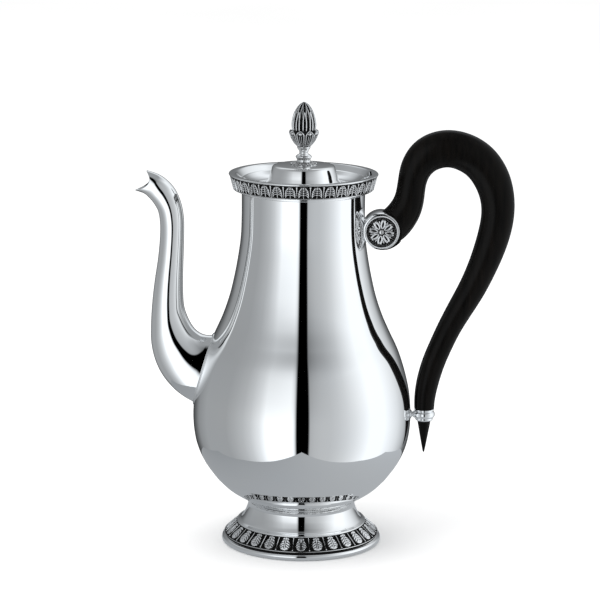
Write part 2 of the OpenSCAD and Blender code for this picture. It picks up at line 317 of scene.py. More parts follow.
SILVER = silver_mat()
RELIEF = relief_mat()
EBONY = ebony_mat()
for n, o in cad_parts.items():
    o.data.materials.clear()
    o.data.materials.append(EBONY if n in ("handle_grip", "handle_tip") else SILVER)

# --------------------------------------------------------------------- body
body_curve = spline([[30.9, 23.45], [31.8, 24.65], [34, 26.05], [38, 28.5], [41, 30.5], [43.9, 32.9], [46.8, 35.8], [49.5, 38.9], [55.4, 47.5], [59.6, 58], [61.262, 70.5],
    [60.6, 84], [58.2, 96], [54.1, 109], [49, 120], [44.6, 130], [40.9, 141], [38.2, 152.5],
    [36.1, 164], [34.7, 175], [34.3, 187], [34.3, 199]], 14)
Z_OF = body_curve[:, 1]
R_OF = body_curve[:, 0]


def body_r(z):
    return np.interp(z, Z_OF, R_OF)


inner = shifted(body_curve, 1.2)
inner = inner[inner[:, 1] > 27.0]
prof = np.vstack([[[27, 24.95], [28.6, 25], [28.9, 24.7], [28.9, 23.45]], body_curve, [[34.3, 205.6], [34.1, 205.8], [33.3, 205.8], [33.1, 205.6]], inner[::-1], [[31, 26.65], [29, 26.2]]])
prof = np.vstack([[[0, 24.95]], [[10, 24.95], [20, 24.95]], prof, [[20, 26.2], [10, 26.2]], [[0, 26.2]]])
pot_body = revolve("pot_body", prof, 480, closed=False, sharp=30)
fix_normals(pot_body)
holes = []
for row in range(-2, 3):
    nh = 3 if row % 2 == 0 else 2
    for k in range(nh):
        a = np.arange(20) * 2 * pi / 20
        ring = np.stack([1.6 * np.cos(a), 1.6 * np.sin(a), 0 * a], 1)
        M = np.array(Matrix.Translation((-57.5, (k - (nh - 1) / 2) * 5, 99 + row * 4.4)) @ Matrix.Rotation(math.radians(-74), 4, "Y"))
        rs = []
        for h in (-8, 8):
            q = ring + [0, 0, h]
            rs.append(q @ M[:3, :3].T + M[:3, 3])
        c = loft("hole", rs)
        fix_normals(c)
        holes.append(c)
cut(pot_body, holes)
put(pot_body, "pot", SILVER, "polished_silver", "body_shell")

# thin half-round wire under the collar
t = np.linspace(0, pi, 9)
wire = [[34.25, 199.6]] + [[34.3 + 0.85 * math.sin(x) ** 0.8, 200.4 - 0.8 * math.cos(x)] for x in t[1:-1]] + [[34.25, 201.2]]
put(revolve("neck_wire", wire, 256, sharp=50), "pot", SILVER, "polished_silver", "neck_moulding")

# collar with the flat lip
col = rounded([[34.3, 201.2], [36.2, 201.2], [37.3, 201.2], [38.4, 201.25], [38.95, 201.5], [38.7, 201.8], [38.1, 201.9],
    [40.0, 209.3], [41.1, 209.35], [41.5, 209.6], [41.58, 209.95], [41.3, 210.3], [38.0, 210.3],
    [37.4, 209.9], [36.4, 208.4], [35.2, 206.7], [34.9, 205.8], [34.3, 205.8]], 0.3, 3)
collar = revolve("mouth_collar_ring", col, 288, sharp=35)
fix_normals(collar)
me = bpy.data.meshes.new("c")
x0, x1, y0, y1, z0, z1 = 33, 37.7, -7.5, 7.5, 206.6, 213
me.from_pydata([[x * MM, y * MM, z * MM] for x in (x0, x1) for y in (y0, y1) for z in (z0, z1)], [],
    [(0, 1, 3, 2), (4, 6, 7, 5), (0, 4, 5, 1), (2, 3, 7, 6), (0, 2, 6, 4), (1, 5, 7, 3)])
c = bpy.data.objects.new("c", me)
bpy.context.scene.collection.objects.link(c)
cut(collar, [c])
put(collar, "pot", SILVER, "polished_silver", "mouth_collar")


# --------------------------------------------------------- relief bands
def palmette(X, Y, H, W):
    """Upright palmette, H tall and W wide, centred on X = 0 with its foot at Y = 0: a stem with five pairs of leaflets that arch over and down."""
    h = ridge(X, Y, [[0, 0.0], [0, 0.98 * H]], 0.24, 0.2)
    for y, xr, dr in ((0.94, 0.3, 0.14), (0.8, 0.45, 0.2), (0.63, 0.5, 0.23), (0.46, 0.51, 0.24), (0.29, 0.49, 0.22)):
        for s in (-1, 1):
            pts = bez([s * 0.02 * W, y * H], [s * xr * 0.85 * W, (y + 0.03) * H], [s * xr * W, (y - dr) * H], 7)
            h = np.maximum(h, ridge(X, Y, pts, 0.2, 0.31))
    return h


def rim_panel(X, Y, pitch, H):
    h = palmette(X, Y - 0.07 * H, 0.86 * H, 0.72 * pitch)
    for s in (-1, 1):
        x = s * pitch / 2
        h = np.maximum(h, ridge(X, Y, [[x, 0], [x, 0.84 * H]], 0.036 * pitch))
        h = np.maximum(h, ridge(X, Y, [[x, 0.84 * H], [x, 0.9 * H]], 0.045 * pitch, 0.065 * pitch))
    h = np.maximum(h, ridge(X, Y, [[-pitch, 1.0 * H], [pitch, 1.0 * H]], 0.25))
    h = np.maximum(h, ridge(X, Y, [[-pitch, 0], [pitch, 0]], 0.28))
    return h


def leaf_panel(X, Y, pitch, H):
    """Hanging lobed leaf, tip down, and half a beaded dart at each side. Y = 0 is the lower edge; pitch is an array, as the cone widens."""
    L0, L1 = 0.09 * H, 0.985 * H
    t = np.clip((Y - L0) / (L1 - L0), 0, 1)
    w = pitch * 0.35 * np.power(np.clip(np.sin(pi * np.clip(0.5 * t / 0.36, 0, 0.5)), 0, 1), 0.6) * (1 - 0.42 * sstep(t, 0.42, 1.0))
    lobe = 1 - 0.16 * (0.5 + 0.5 * np.cos(2 * pi * (Y - L0 + 0.35 * np.abs(X)) / 1.5)) * sstep(t, 0.12, 0.25)
    w = w * lobe
    h = np.clip((w - np.abs(X)) / 0.28, 0, 1) * (Y > L0) * (Y < L1)
    h = np.sqrt(np.clip(1 - (1 - h) ** 2, 0, 1)) * 0.95
    g = np.zeros(X.shape)
    for s in (-1, 1):
        # groove beside the midrib, and one between each pair of lobes
        g = np.maximum(g, ridge(X, Y, [[s * 0.42, L0 + 1.2], [s * 0.5, L1]], 0.13, 0.2))
        for j in range(6):
            y = L0 + 2.1 + j * 1.5
            g = np.maximum(g, ridge(X, Y, bez([s * 0.5, y + 0.55], [s * 1.5, y + 0.1], [s * 2.9, y - 1.15]), 0.2, 0.27))
    h = h * (1 - 0.95 * g)
    for s in (-1, 1):
        x = s * pitch / 2
        wd = 0.2 + 0.1 * sstep(Y, 0.35 * H, H)
        h = np.maximum(h, np.sqrt(np.clip(1 - ((X - x) / wd) ** 2, 0, 1)) * (Y > 0.9) * 0.9)
        h = np.maximum(h, np.sqrt(np.clip(1 - ((X - x) / 0.46) ** 2 - ((Y - 1.15) / 0.5) ** 2, 0, 1)))
    h = np.maximum(h, ridge(X, Y, [[-9, 0.1], [9, 0.1]], 0.24) * 0.95)
    return h


def relief_ring(name, lo, hi, count, cols, rows, panel, depth, proud, back, phase=0.0):
    """A conical band from lo to hi (radius, height) with count repeats of a relief panel. proud is how far the top of the relief stands
    outside the band's surface; back lists the profile points that close the ring behind it, from hi to lo."""
    lo, hi = np.array(lo, float), np.array(hi, float)
    H = np.linalg.norm(hi - lo)
    d = (hi - lo) / H
    nrm = np.array([d[1], -d[0]])
    tt = np.linspace(0, 1, rows)
    Y = np.repeat((tt * H)[:, None], cols, 1)
    rad = (lo[0] + (hi[0] - lo[0]) * tt)[:, None]
    pitch = 2 * pi * rad / count
    X = (np.arange(cols)[None, :] / cols - 0.5) * pitch
    X = np.broadcast_to(X, Y.shape)
    h = panel(X, Y, pitch if panel is leaf_panel else float(pitch.mean()), H)
    off = proud - depth * (1 - h)
    r = lo[0] + d[0] * Y + nrm[0] * off
    z = lo[1] + d[1] * Y + nrm[1] * off
    R = np.tile(r, (1, count))
    Z = np.tile(z, (1, count))
    A = np.tile(h, (1, count))
    n = cols * count
    ang = (np.arange(n) / cols - 0.5) * 2 * pi / count - pi / 2 + phase
    bk = np.array(back, float)
    R = np.vstack([R, np.repeat(bk[:, 0:1], n, 1)])
    Z = np.vstack([Z, np.repeat(bk[:, 1:2], n, 1)])
    A = np.vstack([A, np.zeros((len(bk), n))])
    co = np.stack([R * np.cos(ang), R * np.sin(ang), Z], 2).reshape(-1, 3)
    o = make(name, co, grid_faces(len(R), n, True, True), relief=A.ravel(), sharp=60)
    return o


band = relief_ring("rim_palmettes", [39.05, 201.95], [40.9, 209.2], 34, 52, 56, rim_panel, 0.6, 0.2, [[40.1, 209.35], [38.15, 201.9]])
put(band, "pot", RELIEF, "oxidised_silver", "rim_leaf_band")


leaf = relief_ring("foot_leaves", [43.5, 4.25], [36.55, 10.35], 28, 56, 60, leaf_panel, 0.75, 0.35,
    [[36.3, 10.4], [34, 10.4], [41, 3.4], [42.9, 3.4], [43.0, 3.7]])
put(leaf, "pot", RELIEF, "oxidised_silver", "foot_leaf_border")

# --------------------------------------------------------------------- foot
ped = np.vstack([[[28.95, 23.4], [30.85, 23.4]], spline([[30.75, 23.1], [30.4, 22.3], [30.2, 21.2], [30.35, 20], [31.1, 17.6], [32.3, 15], [33.2, 13.4], [34.1, 12.2], [34.9, 11.75]], 7),
    rounded([[35.6, 11.6], [36.2, 11.45], [36.45, 11.0], [36.3, 10.4]], 0.2, 3), [[34.02, 10.4]],
    spline([[33, 11.5], [31, 14.4], [29.75, 17.2], [29, 19.8], [28.8, 21.3], [28.85, 22.8]], 6)])
put(revolve("foot_neck", ped, 256, sharp=45), "pot", SILVER, "polished_silver", "foot_pedestal")
base = rounded([[39.6, 0.35], [40, 0], [44.5, 0], [44.98, 0.5], [44.98, 1.5], [44.75, 2.3], [44.3, 2.75], [43.6, 2.95], [42.95, 3.38], [40, 3.4], [39.6, 3.0]], 0.3, 3)
put(revolve("foot_rim", base, 256, sharp=40), "pot", SILVER, "polished_silver", "foot_base_ring")

# -------------------------------------------------------------------- spout
spout_c = [[-50, 74, -42, 119, 11.6], [-66, 82, -53, 117.6, 11.4], [-75.5, 90.5, -59.4, 120.4, 10.9], [-81.6, 100.5, -63.4, 126, 10],
    [-84.7, 112, -66.2, 133.5, 9.1], [-85, 124, -66.9, 141, 8.4], [-84.2, 137, -67, 149, 7.8], [-82.8, 149, -66.8, 158, 7.3],
    [-81, 161, -66.5, 167.5, 6.9], [-79.9, 172, -66.3, 176.5, 6.6], [-79.7, 181, -66.4, 184, 6.3], [-80.7, 188, -67.4, 191, 6.1],
    [-83, 192.4, -69.8, 198, 5.9], [-85.5, 195.5, -73.6, 203.8, 5.7], [-88.6, 198.2, -79.5, 208.5, 5.4], [-93.4, 199.8, -86.8, 211.2, 4.9]]
NS = 16
sp = spline(spout_c, NS)
# round off the last bits of noise in the rails
for _ in range(6):
    sp[NS:-NS] = 0.25 * sp[NS - 1:-NS - 1] + 0.5 * sp[NS:-NS] + 0.25 * sp[NS + 1:-NS + 1 or None]
T = np.arange(len(sp)) / NS
K = 72
ka = np.arange(K) * 2 * pi / K


def sp_rings(g, glast):
    o = sp[:, :2]
    i = sp[:, 2:4]
    m = (o + i) / 2
    h = np.linalg.norm(i - o, axis=1) / 2
    u = (i - o) / (2 * h)[:, None]
    back = 4.2 * np.maximum(0, (T - (T[-1] - 2)) / 2) ** 1.6
    gg = np.where(T > T[-1] - 1, g + (glast - g) * (T - T[-1] + 1), g)
    c, s = np.cos(ka), np.sin(ka)
    x = m[:, 0:1] + u[:, 0:1] * (h - gg)[:, None] * s + back[:, None] * c * c
    y = (sp[:, 4] - gg)[:, None] * c
    z = m[:, 1:2] + u[:, 1:2] * (h - gg)[:, None] * s - 0.25 * back[:, None] * c * c
    return np.stack([x, y, z], 2)


def trimmed(rings, M, grow=0.0):
    """Each line of the tube starts where it leaves the body, and gets M points from there to the mouth."""
    n = len(rings)
    out = np.zeros((M, K, 3))
    seam = []
    for k in range(K):
        line = rings[:, k]
        f = np.hypot(line[:, 0], line[:, 1]) - (body_r(line[:, 2]) + grow)
        i = max([j for j in range(n) if f[j] <= 0])
        t0 = i + f[i] / (f[i] - f[i + 1])
        tt = t0 + (n - 1 - t0) * np.linspace(0, 1, M) ** 1.15
        idx = np.arange(n)
        out[:, k] = np.stack([np.interp(tt, idx, line[:, c]) for c in range(3)], 1)
        seam.append(out[0, k].copy())
    return out, np.array(seam)


outer_s, seam = trimmed(sp_rings(0, 0), 190, -0.15)
inner_s, _ = trimmed(sp_rings(1.1, 0.62), 190, -0.15)
lip = (outer_s[-1] + inner_s[-1]) / 2
tipdir = outer_s[-1] - outer_s[-4]
tipdir /= np.linalg.norm(tipdir, axis=1)[:, None]
lip = lip + tipdir * 0.08
allr = np.concatenate([outer_s, lip[None], inner_s[::-1]])
sm = make("swan_spout", allr.reshape(-1, 3), grid_faces(len(allr), K, True, True), sharp=50)
fix_normals(sm)
put(sm, "pot", SILVER, "polished_silver", "spout")

# solder lip: a low rounded band that follows the joint between the spout and the body
seam_o, _ = trimmed(sp_rings(0, 0), 2, 0.0)
sc = seam_o[0]
for _ in range(3):
    sc = 0.25 * np.roll(sc, 1, 0) + 0.5 * sc + 0.25 * np.roll(sc, -1, 0)
tan = np.roll(sc, -1, 0) - np.roll(sc, 1, 0)
tan /= np.linalg.norm(tan, axis=1)[:, None]
az = np.arctan2(sc[:, 1], sc[:, 0])
slope = (body_r(sc[:, 2] + 1) - body_r(sc[:, 2] - 1)) / 2
nb = np.stack([np.cos(az), np.sin(az), -slope], 1)
nb /= np.linalg.norm(nb, axis=1)[:, None]
wb = np.cross(tan, nb)
wb /= np.linalg.norm(wb, axis=1)[:, None]
cen = sc.mean(0)
wb *= np.sign(np.einsum("ij,ij->i", wb, sc - cen))[:, None]
q = np.arange(12) * 2 * pi / 12
lipr = sc[:, None] + wb[:, None] * (0.35 + 1.15 * np.cos(q))[None, :, None] + nb[:, None] * (0.08 + 0.5 * np.sin(q))[None, :, None]
sl = make("spout_solder_lip", lipr.reshape(-1, 3), grid_faces(K, 12, True, True), sharp=60)
fix_normals(sl)
put(sl, "pot", SILVER, "polished_silver")

# ---------------------------------------------------------------------- lid
lt = np.vstack([spline([[1.3, 215.22], [5, 215.2], [9, 215.12], [12.5, 215.0], [15.2, 214.85], [16.6, 214.5], [17.3, 213.9], [17.75, 212.8], [18.3, 211], [19, 208.5],
    [20, 206], [21.7, 204.4], [24.2, 203.7], [27.2, 204], [30.2, 205.2], [32.2, 206.5], [33.2, 207.2], [33.9, 207.5]], 8), [[34.15, 207.5], [34.3, 207.35], [34.3, 206.5], [34.1, 206.32]]])
lu = spline([[33.4, 206.3], [32.5, 205.5], [30.6, 204.2], [27.5, 203], [24, 202.7], [20.8, 203.5], [18.9, 205.4], [17.9, 208], [17.2, 210.6], [16.6, 212.2], [15.9, 213.3],
    [14.9, 213.8], [12, 214], [8, 214.1], [1.3, 214.2]], 6)
lid = revolve("lid_dish", np.vstack([lt, lu]), 288, sharp=32)
fix_normals(lid)
me = bpy.data.meshes.new("c")
x0, x1, y0, y1, z0, z1 = 34.2, 38.2, -8, 8, 204, 210
me.from_pydata([[x * MM, y * MM, z * MM] for x in (x0, x1) for y in (y0, y1) for z in (z0, z1)], [],
    [(0, 1, 3, 2), (4, 6, 7, 5), (0, 4, 5, 1), (2, 3, 7, 6), (0, 2, 6, 4), (1, 5, 7, 3)])
c = bpy.data.objects.new("c", me)
bpy.context.scene.collection.objects.link(c)
cut(lid, [c])
put(lid, "lid", SILVER, "polished_silver", "lid_shell")
put(revolve("lid_bezel_tube", rounded([[30.6, 199], [31.8, 199], [31.8, 204.9], [30.6, 204.1]], 0.3, 3), 256, sharp=40), "lid", SILVER, "polished_silver", "lid_bezel")


# ------------------------------------------------------------------- finial
def spun_relief(name, prof, h_fn, depth, n=420, lo_cap=True, hi_cap=True):
    """A turned shape with carved relief. h_fn(angle, t, z) gives 0 to 1."""
    p = np.asarray(prof, float)
    d = np.gradient(p, axis=0)
    d /= np.maximum(np.linalg.norm(d, axis=1), 1e-9)[:, None]
    nr = np.stack([d[:, 1], -d[:, 0]], 1)
    L = np.r_[0, np.cumsum(np.linalg.norm(np.diff(p, axis=0), axis=1))]
    a = np.arange(n) * 2 * pi / n
    A, TT = np.meshgrid(a, L)
    Zg = np.repeat(p[:, 1:2], n, 1)
    Rg = np.repeat(p[:, 0:1], n, 1)
    h = h_fn(A, TT, Zg, Rg)
    fade = np.minimum(1, Rg / 1.2)
    r = Rg + nr[:, 0:1] * depth * (h - 1) * fade
    z = Zg + nr[:, 1:2] * depth * (h - 1) * fade
    r = np.maximum(r, 0.02)
    co = np.stack([r * np.cos(A), r * np.sin(A), z], 2).reshape(-1, 3)
    m = len(p)
    f = grid_faces(m, n, False, True)
    co = np.vstack([co, [[0, 0, z[0].mean()], [0, 0, z[-1].mean()]]])
    f += [(m * n, (k + 1) % n, k) for k in range(n)]
    f += [(m * n + 1, (m - 1) * n + k, (m - 1) * n + (k + 1) % n) for k in range(n)]
    rel = np.r_[h.ravel(), 0.5, 0.8]
    return make(name, co, f, relief=rel, sharp=70)


def wrap(x, pitch):
    return (x + pitch / 2) % pitch - pitch / 2


def calyx_h(A, TT, Z, R):
    """Round-topped leaves, each with a raised rim and two flutes inside, curling out at the top."""
    n = 9
    pitch = 2 * pi / n
    x = wrap(A + pi / 2 + math.radians(15), pitch) * n / (2 * pi) * 2     # -1 to 1 across a leaf
    t = (Z - 225.1) / (234.7 - 225.1)
    top = 0.99
    half = 0.88 * np.sqrt(np.clip(1 - np.clip((t - 0.66) / (top - 0.66), 0, 1) ** 2, 0, 1))
    rim = np.sqrt(np.clip(1 - ((np.abs(x) - half + 0.14) / 0.17) ** 2, 0, 1)) * (t < top + 0.02)
    knob = np.sqrt(np.clip(1 - (x / 0.46) ** 2 - ((t - 0.8) / 0.12) ** 2, 0, 1))
    fl = np.sqrt(np.clip(1 - ((np.abs(x) - 0.22) / 0.12) ** 2, 0, 1)) * (t < 0.66)
    fl2 = fl * 0
    between = np.sqrt(np.clip(1 - ((np.abs(x) - 1.0) / 0.1) ** 2, 0, 1)) * (t > 0.1) * (t < 0.75) * 0.6
    h = np.maximum.reduce([rim, knob, fl * 0.85, fl2 * 0.7, between])
    band = np.sqrt(np.clip(1 - ((t - 0.985) / 0.035) ** 2, 0, 1)) * 0.3
    return np.maximum(h, band)


def cone_h(A, TT, Z, R):
    """Two tiers of tall pointed leaves, each with two ridges meeting at its point."""
    n = 10
    pitch = 2 * pi / n
    x = wrap(A + pi / 2 - math.radians(4), pitch) / pitch * 2
    t = (Z - 234.7) / (250 - 234.7)
    # middle tier: from the calyx up to about two thirds
    tip = 0.66
    half = 0.74 * np.clip((tip - t) / 0.3, 0, 1) ** 0.55
    side = np.sqrt(np.clip(1 - ((np.abs(x) - half * 0.62) / 0.2) ** 2, 0, 1)) * (t < tip)
    leaf = side
    # upper tier, half a pitch round, coming up from behind the first
    x2 = wrap(A + pi / 2 - math.radians(4) + pitch / 2, pitch) / pitch * 2
    inside = np.abs(x) < half
    r2 = np.sqrt(np.clip(1 - ((np.abs(x2) - 0.4 * np.clip((0.995 - t) / 0.3, 0, 1)) / 0.2) ** 2, 0, 1)) * (t > 0.3)
    up = np.where(inside & (t < tip), 0, r2 * (0.55 + 0.4 * sstep(t, 0.5, 0.75)))
    return np.maximum(leaf, up)


cal = spline([[3.6, 225.1], [5.4, 226.9], [6.9, 229.2], [7.9, 231.4], [8.38, 233], [8.0, 234.1], [7.0, 234.65]], 10)
put(spun_relief("finial_calyx_leaves", cal, calyx_h, 0.85), "lid", RELIEF, "oxidised_silver", "finial_calyx")
con = spline([[6.7, 234.5], [6.95, 236.4], [6.9, 238.6], [6.5, 241], [5.8, 243.5], [4.6, 246], [2.9, 248.3], [1.2, 249.6], [0.15, 249.95]], 10)
put(spun_relief("finial_bud", con, cone_h, 0.85), "lid", RELIEF, "oxidised_silver", "finial_cone")
stem = np.vstack([[[1.3, 216.5], [3.7, 216.6]], spline([[3.9, 216.9], [3.75, 217.4], [3.75, 217.9], [4.2, 218.7], [4.52, 219.4]], 5), spline([[4.45, 219.7], [3.7, 220.4], [2.7, 221], [2.4, 221.8], [2.62, 222.7],
    [3.2, 223.7], [3.72, 224.5]], 7), [[3.78, 224.75], [3.65, 225.1], [1.3, 225.15]]])
put(revolve("finial_turned_stem", stem, 128, sharp=30), "lid", SILVER, "polished_silver", "finial_stem")


def polar_relief(name, rmax, rmin, h_fn, depth, z_fn, body, replaced, place, nr=64, na=384, thick=1.4, hole=0.0):
    """A disc with relief on its face. place maps (x, y, z) with z the face's outward direction to the row frame."""
    rr = np.linspace(rmin, rmax, nr)
    a = np.arange(na) * 2 * pi / na
    Rg, A = np.meshgrid(rr, a, indexing="ij")
    h = h_fn(Rg, A)
    z = z_fn(Rg) + depth * h
    rows = [np.stack([Rg * np.cos(A), Rg * np.sin(A), z], 2)]
    rel = [h]
    for (br, bz, bh) in ((rmax + 0.02, float(z_fn(np.array(rmax))) * 0.6, 0.9), (rmax - 0.1, 0.0, 0.8), (rmin, 0.0, 0.2)):
        rows.append(np.stack([np.full(na, br) * np.cos(a), np.full(na, br) * np.sin(a), np.full(na, bz)], 1)[None])
        rel.append(np.full((1, na), bh))
    co = np.concatenate(rows).reshape(-1, 3)
    co = place(co)
    o = make(name, co, grid_faces(nr + 3, na, True, True), relief=np.concatenate(rel).ravel(), sharp=60)
    fix_normals(o)
    return put(o, body, RELIEF, "oxidised_silver", *replaced)


def washer_h(R, A):
    """Small ornamented disc under the knob: a ring of petals and a milled edge."""
    x = wrap(A, 2 * pi / 16) * 16 / pi
    pet = np.sqrt(np.clip(1 - (x / 0.8) ** 2, 0, 1)) * sstep(R, 4.0, 4.4) * (1 - sstep(R, 6.2, 6.6))
    line = np.sqrt(np.clip(1 - ((np.abs(x) - 1) / 0.16) ** 2, 0, 1)) * sstep(R, 4.4, 5) * 0.8
    edge = np.sqrt(np.clip(1 - ((R - 7.1) / 0.42) ** 2, 0, 1)) * (0.75 + 0.25 * np.cos(A * 48))
    hub = sstep(-R, -4.2, -3.9)
    return np.clip(np.maximum.reduce([pet * 0.7, line, edge, hub * 0.8]), 0, 1)


polar_relief("finial_washer_disc", 7.58, 1.3, washer_h, 0.4, lambda R: 0.28 + 0.75 * (1 - np.clip((R - 3.5) / 4, 0, 1)) ** 1.2 * 1.0 * (np.asarray(R) > -1), "lid", ("finial_rosette",),
    lambda co: np.stack([co[:, 0], co[:, 1], 215.16 + co[:, 2]], 1), nr=60)


def rosette_h(R, A):
    """Eight cleft petals, eight narrow sepals between them, a boss, a stippled ring and a beaded rim."""
    n = 8
    pitch = 2 * pi / n
    a = wrap(A + math.radians(10), pitch)
    X, Y = R * np.sin(a), R * np.cos(a)
    h = np.zeros(R.shape)
    for s in (-1, 1):
        h = np.maximum(h, ridge(X, Y, bez([s * 0.3, 2.2], [s * 1.5, 4.2], [s * 0.62, 6.3], 6), 0.42, 0.74))
    a2 = wrap(A + math.radians(10) + pitch / 2, pitch)
    X2, Y2 = R * np.sin(a2), R * np.cos(a2)
    h = np.maximum(h, ridge(X2, Y2, [[0, 3.2], [0, 5.4]], 0.12, 0.24) * 0.85)
    h = np.maximum(h, ridge(X2, Y2, [[0, 5.5], [0, 6.4]], 0.5, 0.25) * 0.95)
    h = np.maximum(h, np.sqrt(np.clip(1 - (R / 1.7) ** 2, 0, 1)) * 0.75)
    h = np.maximum(h, np.sqrt(np.clip(1 - ((R - 1.35) / 0.25) ** 2, 0, 1)) * (0.5 + 0.4 * np.cos(A * 12)))
    st = 0.75 * (0.5 + 0.5 * np.cos(R * 9.5)) * (0.5 + 0.5 * np.cos(A * 72)) * sstep(R, 6.7, 7.0) * (1 - sstep(R, 8.1, 8.3))
    h = np.maximum(h, st + 0.08)
    h = np.maximum(h, np.sqrt(np.clip(1 - ((R - 8.85) / 0.5) ** 2, 0, 1)) * (0.86 + 0.14 * np.cos(A * 76)))
    h = np.maximum(h, np.sqrt(np.clip(1 - ((R - 8.2) / 0.12) ** 2, 0, 1)) * 0.4)
    return np.clip(h, 0, 1)


DX, DZ, DH = 43.4, 178.8, 8.4
polar_relief("rosette_front_relief", 9.4, 0.05, rosette_h, 0.75, lambda R: 0.35 + 0.45 * sstep(np.asarray(R, float), 8.1, 8.6) + 0.25 * (1 - sstep(np.asarray(R, float), 0, 6)), "pot", ("rosette_front", "rosette_rivet"),
    lambda co: np.stack([DX + co[:, 0], -DH - co[:, 2], DZ + co[:, 1]], 1), nr=110)
polar_relief("rosette_rear_relief", 9.4, 0.05, rosette_h, 0.75, lambda R: 0.35 + 0.45 * sstep(np.asarray(R, float), 8.1, 8.6) + 0.25 * (1 - sstep(np.asarray(R, float), 0, 6)), "pot", ("rosette_rear",),
    lambda co: np.stack([DX - co[:, 0], DH + co[:, 2], DZ + co[:, 1]], 1), nr=110)

# ------------------------------------------------------- bracket and handle
a = np.arange(128) * 2 * pi / 128
rows = []
for (r, y) in ((0.01, -8.4), (9.6, -8.4), (10.0, -8.3), (10.2, -7.95), (10.2, 0), (10.2, 7.95), (10.0, 8.3), (9.6, 8.4), (0.01, 8.4)):
    rows.append(np.stack([DX + r * np.cos(a), np.full(128, float(y)), DZ + r * np.sin(a)], 1))
dr = make("bracket_drum", np.concatenate(rows), grid_faces(9, 128, False, True), sharp=40)
fix_normals(dr)
put(dr, "pot", SILVER, "polished_silver", "handle_bracket")
# neck block, flared a little where it meets the body
rows = []
kk = 64
aa = np.arange(kk) * 2 * pi / kk
for x in np.linspace(33.6, 38.5, 15):
    t = (x - 33.6) / 4.9
    fl = 0.25 * np.exp(-((x - 34.4) / 0.6) ** 2)
    wy, wz = 4.6 + fl, 6.0 + fl
    e = 0.16
    rows.append(np.stack([np.full(kk, x), wy * np.sign(np.cos(aa)) * np.abs(np.cos(aa)) ** e, DZ + wz * np.sign(np.sin(aa)) * np.abs(np.sin(aa)) ** e], 1))
nb_ = loft("bracket_neck", rows)
fix_normals(nb_)
put(nb_, "pot", SILVER, "polished_silver")

grip_c = [[45.3, 177.9, 19], [49.9, 181.3, 19.4], [54.1, 185.9, 18.6], [57.4, 191.5, 17.5], [59.2, 197.8, 16.2], [60.2, 205.6, 15.8], [62.4, 213.6, 17.6],
    [67.6, 220.4, 19.7], [75, 223.9, 20.6], [83, 224.3, 20.8], [91.5, 221.5, 21], [99, 216, 20.8], [104.8, 207, 20.2],
    [107.8, 197, 19], [108.2, 187, 18.3], [106.5, 177, 18], [103.4, 166.5, 17.2], [99.3, 155.7, 16.1], [94.2, 144.6, 15.3],
    [88, 133.6, 14.3], [82.3, 123, 13.3], [77.6, 112.5, 13], [73.6, 102.5, 12.9], [70.7, 92, 12.6], [69.2, 83, 11.8], [69, 76.4, 11.2]]
g = spline(grip_c, 14)
for _ in range(40):
    g[1:-1] = 0.25 * g[:-2] + 0.5 * g[1:-1] + 0.25 * g[2:]
d = np.gradient(g[:, :2], axis=0)
d /= np.linalg.norm(d, axis=1)[:, None]
K2 = 56
ang = np.arange(K2) * 2 * pi / K2
tt = g[:, 2] / 2
ww = 5.6 + (g[:, 2] - 11.2) * 0.26
e = 0.86
sa_ = np.sign(np.sin(ang)) * np.abs(np.sin(ang)) ** e
ca_ = np.sign(np.cos(ang)) * np.abs(np.cos(ang)) ** e
gr = np.stack([g[:, 0:1] - d[:, 1:2] * tt[:, None] * sa_, ww[:, None] * ca_, g[:, 1:2] + d[:, 0:1] * tt[:, None] * sa_], 2)
for i in range(14):
    k = math.sqrt(1 - ((14 - i) / 14) ** 2 * 0.19)
    c_ = gr[i].mean(0)
    gr[i] = c_ + (gr[i] - c_) * [k, 1, k]
grip = loft("scroll_handle", gr, sharp=60)
fix_normals(grip)
# the wood's round end, which wraps the top of the drum
rows = []
b_ = np.linspace(-99, 82, 70)
ro = np.interp(b_, [-99, -90, -72, -50, -30, 20, 60, 82], [10.25, 10.4, 10.75, 11.3, 12.2, 12, 11, 10.3])
b_ = np.radians(b_)
for (k, y) in ((0, -7.55), (0.7, -7.6), (0.93, -7.2), (1, -3), (1, 3), (0.93, 7.2), (0.7, 7.6), (0, 7.55)):
    r = 10.15 + (ro - 10.15) * k
    rows.append(np.stack([DX + r * np.cos(b_), np.full(70, float(y)), DZ + r * np.sin(b_)], 1))
R_ = np.array(rows)
f = grid_faces(8, 70, True, False)
f += [tuple(i * 70 for i in range(8)), tuple(i * 70 + 69 for i in range(7, -1, -1))]
wr = make("scroll_end", R_.reshape(-1, 3), f, sharp=60)
fix_normals(wr)
put(grip, "pot", EBONY, "ebony", "handle_grip")
put(wr, "pot", EBONY, "ebony")

ringp = np.vstack([[[1.3, 69.5], [4.0, 69.45]], spline([[4.6, 69.6], [4.95, 70.2], [4.7, 70.85]], 5), [[4.75, 71.1]], spline([[5.3, 71.25], [5.85, 71.9], [6.08, 73], [5.85, 74.1], [5.3, 74.7]], 6),
    [[4.95, 74.85]], spline([[5.15, 75.0], [5.5, 75.6], [5.2, 76.3]], 5), [[4.9, 76.4], [1.3, 76.4]]])
put(revolve("lower_ring", ringp, 128, sharp=40, cx=69), "pot", SILVER, "polished_silver", "handle_ring")
tipp = np.vstack([[[0, 50.8]], spline([[0.3, 50.95], [0.6, 52], [1.25, 55.3], [2.3, 61], [3.3, 66.6], [3.75, 69.2]], 6), [[3.6, 69.55]], [[0, 69.55]]])
tip = revolve("handle_drop", tipp, 96, closed=False, sharp=50, cx=69)
fix_normals(tip)
put(tip, "pot", EBONY, "ebony", "handle_tip")
